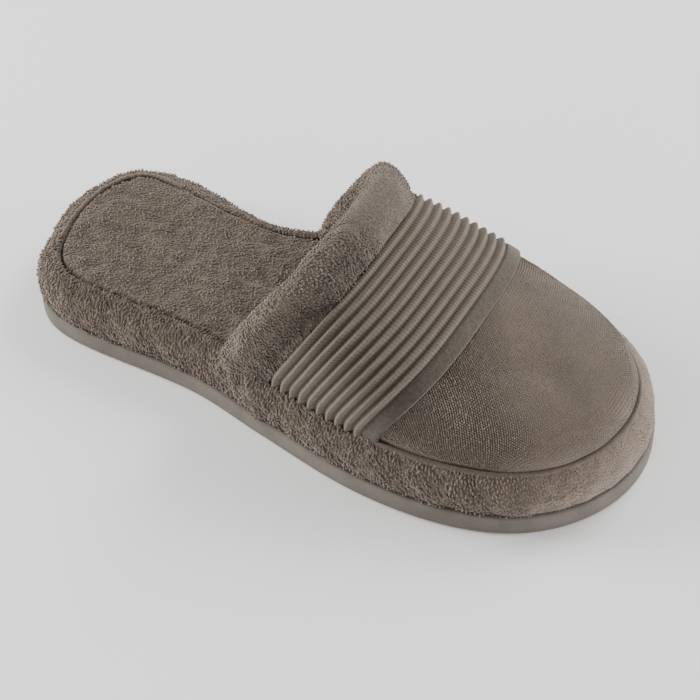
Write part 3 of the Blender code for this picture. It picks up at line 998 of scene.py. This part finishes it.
def sock_cloth(u, v):
    """Rings from the edge inwards, and then straight in to a line along the middle of the foot."""
    turn = 2 * np.pi * (1 - u)
    inset = SOCK_RIM * part_way(v, 0, 0.5) ** 1.6
    ring = outline(SOCK_INSET + inset, turn)
    inner = part_way(v, 0.5, 1)[:, None]
    spine_x = np.clip(-0.5 * LENGTH * np.cos(turn), *SOCK_SPINE)
    spine_y = middle_line(share_at(spine_x)) - SIDE_SHIFT
    flat = ring * (1 - inner) + np.column_stack([spine_x, spine_y]) * inner
    drop = np.interp(inset, column(SOCK, "inset"), column(SOCK, "drop"))
    z = INSOLE_TOP - drop * (1 - SOCK_SHALLOW * np.interp(turn, SHALLOW_TURNS, PLATEAU))
    for hollow in HOLLOWS:
        away = (flat[:, 0] - hollow.x) ** 2 + (flat[:, 1] - hollow.y) ** 2
        z = z - hollow.depth * np.exp(-away / hollow.reach**2)
    points = np.column_stack([flat, z])
    points[:, 2] += rippled(points, Ripple(0.019, 0.00050, 21), Ripple(0.009, 0.00034, 22)) - SOCK_PILE
    return points


terry_sock = lay_grid("terry_sock", sock_cloth, cells=(300, 60))
tidy_mesh(outward=False)
make_slab(-SOCK_THICKNESS)
dress(terry_sock, brushed_ground, "terry_sock", "insole")

# %% Loops of the sock
SOCK_LOOP = Loop(0.0018, 0.00098, 0.00036, 0.6, 1.4, 0.7)


def sock_spacing(points):
    """Under the upper, where nothing shows, the loops stand further apart."""
    return np.interp(points[:, 0], [-0.005, 0.03], [0.00112, 0.0024])


places = scatter(sock_cloth, sock_spacing, (1100, 110), seed=23, v_range=(0.10, 0.985))
matted = 1 + rippled(sock_cloth(*places), Ripple(0.006, 0.22, 24))
sock_loops = sow_loops("sock_loops", sock_cloth, places, SOCK_LOOP, matted, seed=25)
dress(sock_loops, matted_loops, "terry_sock")

# %% [markdown]
# ## Upper
# The upper is one hollow terry vamp, open at the throat and underneath. A solid could be hollowed out, but
# cloth is a sheet: its grid starts at the throat edge and closes at the tip of the toe, its foot edges are
# extruded down into the groove, and the wall gets its thickness on the inside. The loops of the toe stand
# in woven rows along the cords, each row staggered against the last, and lie flat towards the tip.

# %% Upper
TOE_CREASES = [
    Crease((0.075, -0.030, 0.040), (0.100, -0.026, 0.034), 0.010, 0.0006),
    Crease((0.072, 0.010, 0.056), (0.100, 0.014, 0.044), 0.012, 0.0005),
    Crease((0.070, -0.012, 0.054), (0.098, -0.006, 0.044), 0.007, -0.0005),
]
ROW_CROWDING = 1.8
TOE_BRUSH = Brush(0.021, 0.056, 0.9, 0.020)
FULL_RISE = 0.0005
FULL_HEIGHT = 0.006
FULL_REACH = 0.004


def vamp_lift(points):
    """Pile sunk in, creases, and a slight fullness just above the groove."""
    above = points[:, 2] - GROOVE_HEIGHT - FULL_HEIGHT
    full = FULL_RISE * np.exp(-((above / FULL_REACH) ** 2))
    pile = PILE * (1 - 0.7 * brushed_flat(points, TOE_BRUSH))
    return crease_rise(points, TOE_CREASES) + full + rippled(points, Ripple(0.022, 0.00020, 31)) - pile


def vamp_from(start, u, v):
    """Cloth of the vamp from a line across it to the tip, with rows that crowd towards the tip."""
    angle = np.pi * u
    x = start + (VAMP_END - start) * (1 - (1 - v) ** ROW_CROWDING)
    return on_vamp(x, angle, vamp_lift(vamp_point(x, angle)))


def vamp_cloth(u, v):
    return vamp_from(edge_x(CUFF_REAR, np.pi * u) + CUFF_FOLD_DEPTH, u, v)


terry_vamp = lay_grid("terry_vamp", vamp_cloth, cells=(150, 110))
tidy_mesh(merge=5e-6, outward=False)
bpy.ops.object.mode_set(mode="EDIT")
bpy.ops.mesh.select_all(action="DESELECT")
bpy.ops.object.mode_set(mode="OBJECT")
vamp_heights = read_points(terry_vamp)[:, 2]
faces_on_edge = np.bincount([loop.edge_index for loop in terry_vamp.data.loops])
for edge in terry_vamp.data.edges:
    low = max(vamp_heights[i] for i in edge.vertices) < GROOVE_HEIGHT + 1e-4
    edge.select = low and faces_on_edge[edge.index] == 1
bpy.ops.object.mode_set(mode="EDIT")
bpy.ops.mesh.select_mode(type="EDGE")
into_groove = (0, 0, DECK_HEIGHT + GAP - GROOVE_HEIGHT)
bpy.ops.mesh.extrude_region_move(TRANSFORM_OT_translate={"value": into_groove})
bpy.ops.mesh.select_mode(type="VERT")
bpy.ops.object.mode_set(mode="OBJECT")
thicken(terry_vamp, VAMP_WALL - PILE)
bpy.ops.object.shade_smooth_by_angle(angle=math.radians(60))
dress(terry_vamp, brushed_ground, "terry_upper", "upper")

# %% Loops of the toe
TOE_LOOP = Loop(0.0015, 0.00074, 0.00075, 0.9, 0.25, 0.35)
TOE_SHRINK = 0.58
TOE_TIP = 0.985
TOE_PITCH = 0.00100
TOE_LAP = 0.001
TOE_CLEAR = 0.0009


def toe_start(u):
    """Line on the vamp just under the front edge of the cords."""
    return edge_x(BAND_FRONT, np.pi * u) - TOE_LAP


def toe_cloth(u, v):
    """The vamp in front of the cords alone."""
    return vamp_from(toe_start(u), u, v)


def toe_rows(pitch):
    """Places in rows along the cords, a pitch apart and staggered, up to the groove."""
    u = np.linspace(0.02, 0.98, 500)
    start = toe_start(u)
    found = []
    for row in range(int((VAMP_END - start.min()) / pitch)):
        ahead = (row + 0.5) * pitch / (VAMP_END - start)
        v = 1 - np.clip(1 - ahead, 0, 1) ** (1 / ROW_CROWDING)
        points = toe_cloth(u, v)
        along = np.concatenate([[0], np.cumsum(np.linalg.norm(np.diff(points, axis=0), axis=1))])
        at = np.arange((row % 2 + 1) * pitch / 2, along[-1], pitch)
        found.append(np.stack([np.interp(at, along, u), np.interp(at, along, v)]))
    u, v = np.hstack(found)
    points = toe_cloth(u, v)
    clear = (v < TOE_TIP) & (points[:, 2] > GROOVE_HEIGHT + TOE_CLEAR)
    u, v, points = u[clear], v[clear], points[clear]
    kept = thin_out(points, 0.75 * pitch, np.arange(len(points)))
    return u[kept], v[kept]


places = toe_rows(TOE_PITCH)
size = 1 - TOE_SHRINK * brushed_flat(toe_cloth(*places), TOE_BRUSH)
toe_loops = sow_loops("toe_loops", toe_cloth, places, TOE_LOOP, size, seed=34)
dress(toe_loops, terry_loops, "terry_upper")

# %% [markdown]
# ## Welts
# In the groove inside the rim lies a narrow welt, with a dark line on each side of it. It shows round the
# toe, from one end of the cords to the other, in a darker cloth, and at the back of the heel, on the inner
# side, in the strip's own. A curve with a round bevel would do, but a grid rolled into a thin tube can
# follow the outline's own function.

# %% Welts
Welt = namedtuple("Welt", "name slot finish middle reach inset height radius")
WELT_LAP = 0.03
WELT_END = np.arccos(1 - 2 * (BAND_FRONT.side - WELT_LAP))
WELTS = [
    Welt("toe_welt", "terry_upper", welt_ground, np.pi, np.pi - WELT_END, 0.0069, 0.0259, 0.0010),
    Welt("heel_welt", "terry_wrap", strip_ground, 0.30, 0.52, 0.0096, 0.0262, 0.0008),
]


def welt_form(welt):
    def form(u, v):
        turn = welt.middle + welt.reach * (1 - 2 * u)
        round_tube = 2 * np.pi * v
        line = outline(welt.inset - welt.radius * np.cos(round_tube), turn)
        return np.column_stack([line, welt.height + welt.radius * np.sin(round_tube)])

    return form


for welt in WELTS:
    tube = lay_grid(welt.name, welt_form(welt), cells=(360, 12))
    tidy_mesh(fill=True)
    dress(tube, welt.finish, welt.slot)

# %% [markdown]
# ## Band of cords
# Across the instep runs a panel of ten round cords and a flat hem, in a smooth ribbed knit. Ten tubes
# side by side would do, but as one panel the cords are a profile across it, and the grid follows the arch
# from side to side. Knit stitches are too small to model, so the panel's own map draws them, in colour
# and as a bump. The valleys get painted shade, and the hem is painted in shade, darker towards our side.

# %% Band of cords
RIB_COUNT = 10
HEM_PITCHES = 1.6
CORD_VALLEY = 0.0003
CORD_CREST = 0.0029
HEM_RISE = 0.0017
SOFT_GAP = 0.0004
SEAT_DROP = 0.0042
SEAT_REACH = 0.03
CORD_COLUMNS = 14
CORD_WALL = 0.0004
SlackRow = namedtuple("SlackRow", "over rise")
CORD_SLACK = [
    SlackRow(0.0, 0.5),
    SlackRow(0.06, 0.9),
    SlackRow(0.20, 0.8),
    SlackRow(0.34, 0.4),
    SlackRow(0.42, 0.42),
    SlackRow(0.58, 0.75),
    SlackRow(0.75, 1.0),
    SlackRow(0.95, 1.0),
    SlackRow(1.0, 0.5),
]


def cord_rise(v):
    """Rise of the panel at a share of its width: round cords, then the flat hem."""
    place = v * (RIB_COUNT + HEM_PITCHES)
    within = place - np.floor(place)
    cord = CORD_VALLEY + (CORD_CREST - CORD_VALLEY) * (0.5 - 0.5 * np.cos(2 * np.pi * within)) ** 1.1
    hem_share = part_way(place, RIB_COUNT, RIB_COUNT + HEM_PITCHES)
    hem = HEM_RISE * np.clip(1 - np.abs(2 * hem_share - 1) ** 6, 0, 1) ** 0.4
    return np.where(place < RIB_COUNT, cord, np.maximum(hem, CORD_VALLEY * 0.7))


def seated(placed, u, share=1.0):
    """Draws both feet of a piece down onto the rim."""
    placed[:, 2] -= SEAT_DROP * part_way(np.minimum(u, 1 - u), SEAT_REACH, 0) * share
    return placed


def band_cloth(u, v):
    angle = np.pi * u
    rear = edge_x(BAND_REAR, angle) - 2 * SOFT_GAP
    front = edge_x(BAND_FRONT, angle)
    x = rear + (front - rear) * v
    slack = np.interp(u, column(CORD_SLACK, "over"), column(CORD_SLACK, "rise"))
    slack = slack * (1 + rippled(vamp_point(x, angle), Ripple(0.035, 0.07, 41)))
    return seated(on_vamp(x, angle, SOFT_GAP + cord_rise(v) * slack), u)


band_rows = int(CORD_COLUMNS * (RIB_COUNT + HEM_PITCHES))
cord_band = lay_grid("cord_band", band_cloth, cells=(180, band_rows))
tidy_mesh(outward=False)
thicken(cord_band, CORD_WALL)
print("cords and hem take", band_rows, "rows of faces")

# %% Knit of the cords
CORD_TAUPE = (0.103, 0.079, 0.058)
STITCHES_OVER = 110.0
CORD_CROWN = 0.42
KNIT_DEPTH = 0.00005
HEM_GRAIN = 5.0
CORD_GRAIN = 0.6

knit, tree, shader = new_material("cord_knit", roughness=0.88, sheen=0.25)
weave = node(tree, "UVMap", "UV", {})
over, across = (node(tree, "SeparateXYZ", axis, {"Vector": weave}) for axis in "XY")
on_cords = worked(tree, "LESS_THAN", across, RIB_COUNT / (RIB_COUNT + HEM_PITCHES))
within_cord = worked(tree, "FRACT", worked(tree, "MULTIPLY", across, RIB_COUNT + HEM_PITCHES))
chevron = worked(tree, "ABSOLUTE", worked(tree, "SUBTRACT", within_cord, 0.5))
slanted = worked(tree, "MULTIPLY_ADD", over, STITCHES_OVER, chevron)
stitches = worked(tree, "SINE", worked(tree, "MULTIPLY", slanted, 2 * math.pi))

from_crown = worked(tree, "ABSOLUTE", worked(tree, "SUBTRACT", over, CORD_CROWN))
# Painted shade in the valleys between cords, a little weaker at the crown.
deep = ramp(tree, chevron, (0.24, grey(0.0)), (0.48, grey(1.0)))
aside = ramp(tree, from_crown, (0.0, grey(0.8)), (0.45, grey(1.0)))
valley = worked(tree, "MULTIPLY", worked(tree, "MULTIPLY", deep, on_cords), aside)

patches = noise_on(tree, 260.0, 3.0)
fuzz = ramp(tree, patches, (0.3, tinted(CORD_TAUPE, 0.90)), (0.7, tinted(CORD_TAUPE, 1.10)))
crossing = worked(tree, "MULTIPLY_ADD", stitches, 0.5, 0.5)
cords = mixed(tree, 1.0, fuzz, ramp(tree, crossing, (0.0, grey(0.84)), (1.0, grey(1.10))), "MULTIPLY")
# The hem is painted in shade, darker towards our side.
hem = ramp(tree, over, (0.55, tinted(CORD_TAUPE, 0.60)), (0.85, tinted(CORD_TAUPE, 0.37)))
threadbare = ramp(tree, noise_on(tree, 900.0, 3.0), (0.35, grey(0.70)), (0.65, grey(1.20)))
panel = mixed(tree, on_cords, mixed(tree, 1.0, hem, threadbare, "MULTIPLY"), cords)
# Paints the shade into the valleys.
panel = mixed(tree, valley, panel, tinted(CORD_TAUPE, 0.36))
tree.links.new(panel, shader.inputs["Base Color"])

grain = worked(tree, "MULTIPLY_ADD", on_cords, CORD_GRAIN - HEM_GRAIN, HEM_GRAIN)
grain = worked(tree, "MULTIPLY", noise_on(tree, 1100.0, 3.0), grain)
bumped(tree, shader, worked(tree, "MULTIPLY_ADD", stitches, on_cords, grain), KNIT_DEPTH)
dress(cord_band, knit, "rib_cord", "rib_band")

# %% [markdown]
# ## Padded cuff
# A thick fold of terry wraps the throat edge. A swept tube would do if its section stayed the same, but it
# is steeper at the crown than at the sides. So the section, a closed line that is round outside and thin
# inside, is drawn anew at each angle of the arch, and the grid carries it over. Like the strip, the cuff
# is blown out between its seams. Its rear edge gets a painted highlight, the valley behind the cords
# painted shade, and on the front slope of the crown the loops are short and in painted shade.

# %% Section of the cuff
CUFF_RISE_TOP = 0.0088
CUFF_RISE_FOOT = 0.0035
CUFF_PEAK = 0.32
CUFF_FULLNESS = 2.3
CUFF_TURN = (0.80, 0.95)
CUFF_VALLEY_SIDE = 0.85
CUFF_FALL_SIDE = 0.75
CUFF_FALL_TOP = 2.8
CUFF_END_SIDE = 0.10
CUFF_END_TOP = 0.30
CUFF_FLARE = 0.0016
CUFF_INNER_THICKNESS = 0.0026
CUFF_INNER_WIDTH = 0.0150
CUFF_GAP = 0.0005
CUFF_POINTS = 120


def cuff_section(angle):
    """Closed section of the fold at one angle, as evenly spaced rows of x and lift."""
    rear = edge_x(CUFF_REAR, angle)
    front = edge_x(BAND_REAR, angle) - SOFT_GAP
    up = np.clip(arch(angle, EDGE_ROUNDNESS)[1], 0, 1)
    rise = CUFF_RISE_FOOT + (CUFF_RISE_TOP - CUFF_RISE_FOOT) * np.sqrt(up)
    over = (1 - np.cos(np.linspace(0, np.pi, 60))) / 2
    climb = part_way(over, CUFF_PEAK, 0)
    valley = np.interp(up, CUFF_TURN, [CUFF_VALLEY_SIDE, 1.0])
    fall = part_way(over, CUFF_PEAK, valley)
    steep = np.interp(up, CUFF_TURN, [CUFF_FALL_SIDE, CUFF_FALL_TOP])
    end = np.interp(up, CUFF_TURN, [CUFF_END_SIDE, CUFF_END_TOP])
    swell = (1 - climb**CUFF_FULLNESS) ** (1 / CUFF_FULLNESS) - (1 - end) * fall**steep
    under = -VAMP_WALL - CUFF_GAP
    inside = under - CUFF_INNER_THICKNESS
    slot = rear + CUFF_FOLD_DEPTH - CUFF_GAP
    hem = rear + CUFF_INNER_WIDTH
    turns = np.radians(np.linspace(90, 4, 14))
    x = [*(rear + (front - rear) * over), front, slot, slot, hem, hem, hem - 0.001]
    lift = [*(CUFF_GAP + rise * swell), CUFF_GAP, CUFF_GAP, under, under, inside + 0.001, inside]
    x += list(rear + CUFF_FOLD_DEPTH * (1 - np.cos(turns)))
    lift += list(CUFF_GAP + (inside - CUFF_GAP) * np.sin(turns))
    return np.array(x), np.array(lift)


def cuff_table(columns):
    """Sections at even angles, each resampled to the same number of evenly spaced points."""
    rows = []
    for angle in np.pi * np.linspace(0, 1, columns):
        x, lift = cuff_section(angle)
        x, lift = np.append(x, x[0]), np.append(lift, lift[0])
        length = np.concatenate([[0], np.cumsum(np.hypot(np.diff(x), np.diff(lift)))])
        even = np.linspace(0, length[-1], CUFF_POINTS + 1)
        rows.append(np.stack([np.interp(even, length, x), np.interp(even, length, lift)], axis=1))
    return np.array(rows)


CUFF_COLUMNS = 161
CUFF_TABLE = cuff_table(CUFF_COLUMNS)
print("cuff sections and points:", CUFF_TABLE.shape[:2])


# %% Padded cuff
def cuff_form(u, v):
    """Point of the fold: u goes over the arch, and v round the section from the rear edge outwards."""
    x_lift = between(CUFF_TABLE, u, v)
    angle = np.pi * u
    foot = np.exp(-np.minimum(u, 1 - u) / SEAT_REACH)
    outer = x_lift[:, 1] > CUFF_GAP * 1.01
    placed = on_vamp(x_lift[:, 0], angle, x_lift[:, 1] + CUFF_FLARE * foot * outer)
    return seated(placed, u, x_lift[:, 1] > 0)


CUFF_PILE = 0.7 * PILE
CUFF_SWELL = 0.0012
CUFF_SEAMS = (-0.22, 0.37)


def cuff_lift(points, u, v):
    return rippled(points, Ripple(0.026, 0.00035, 51), Ripple(0.011, 0.0002, 52)) - CUFF_PILE


def cuff_cap(points):
    return CUFF_SWELL


laid_cuff = pressed(cuff_form, cuff_lift)
cuff_cloth = blown_out(laid_cuff, 0.0, CUFF_SEAMS, cells=(96, 40), cap=cuff_cap)

# %% Painted light and shade of the cuff
SLOPE_ACROSS = (-0.012, 0.004, 0.028, 0.044)
SLOPE_ALONG = (-0.002, 0.010)
VALLEY_WIDTH = 0.013
VALLEY_FADE = 0.007
OUTER_FACE = 0.6
# Painted light and shade: a highlight off the crown, shade in the valley and on the crown's front slope.
REAR_PAINTED_LIGHT = 0.8
VALLEY_PAINTED_SHADE = -3.6
SLOPE_PAINTED_SHADE = -1.6


def on_crown(points):
    """1 on the smooth slope at the top of the fold, on its front half."""
    return np.interp(points[:, 1], SLOPE_ACROSS, PLATEAU) * part_way(points[:, 0], *SLOPE_ALONG)


def cuff_painted_light(u, v):
    """A painted highlight at the rear edge, painted shade in the valley and on the crown's front slope."""
    points = cuff_cloth(u, v)
    crown = on_crown(points)
    to_cords = edge_x(BAND_REAR, np.pi * u) - points[:, 0]
    valley = part_way(to_cords, VALLEY_WIDTH, VALLEY_WIDTH - VALLEY_FADE) * (v < OUTER_FACE)
    return (1 - crown) * (REAR_PAINTED_LIGHT + VALLEY_PAINTED_SHADE * valley) + SLOPE_PAINTED_SHADE * crown


terry_cuff = lay_grid("terry_cuff", cuff_cloth, (CUFF_COLUMNS - 1, CUFF_POINTS), cuff_painted_light)
tidy_mesh(merge=4e-5, fill=True)
dress(terry_cuff, cuff_ground, "terry_cuff", "collar_cuff")

# %% Loops of the cuff
CUFF_LOOP = Loop(0.0015, 0.00078, 0.00090, np.pi / 2, 0.9, 0.35)
CROWN_SHRINK = 0.62
CUFF_SPACING = 0.00106


def cuff_spacing(points):
    return CUFF_SPACING


places = scatter(cuff_cloth, cuff_spacing, (420, 190), seed=53, u_range=(0.004, 0.996))
at = cuff_cloth(*places)
size = (1 - CROWN_SHRINK * on_crown(at)) * (1 + rippled(at, Ripple(0.0055, 0.20, 55)))
# The loops take the cuff's painted light and shade.
shade = cuff_painted_light(*places)
cuff_loops = sow_loops("cuff_loops", cuff_cloth, places, CUFF_LOOP, size, seed=54, painted_light=shade)
dress(cuff_loops, terry_loops, "terry_cuff")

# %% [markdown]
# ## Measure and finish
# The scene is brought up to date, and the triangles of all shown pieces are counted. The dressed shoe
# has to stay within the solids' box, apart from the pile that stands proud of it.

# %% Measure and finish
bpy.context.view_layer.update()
print("triangles in all:", sum(triangles(o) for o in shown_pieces() if o.type == "MESH"))
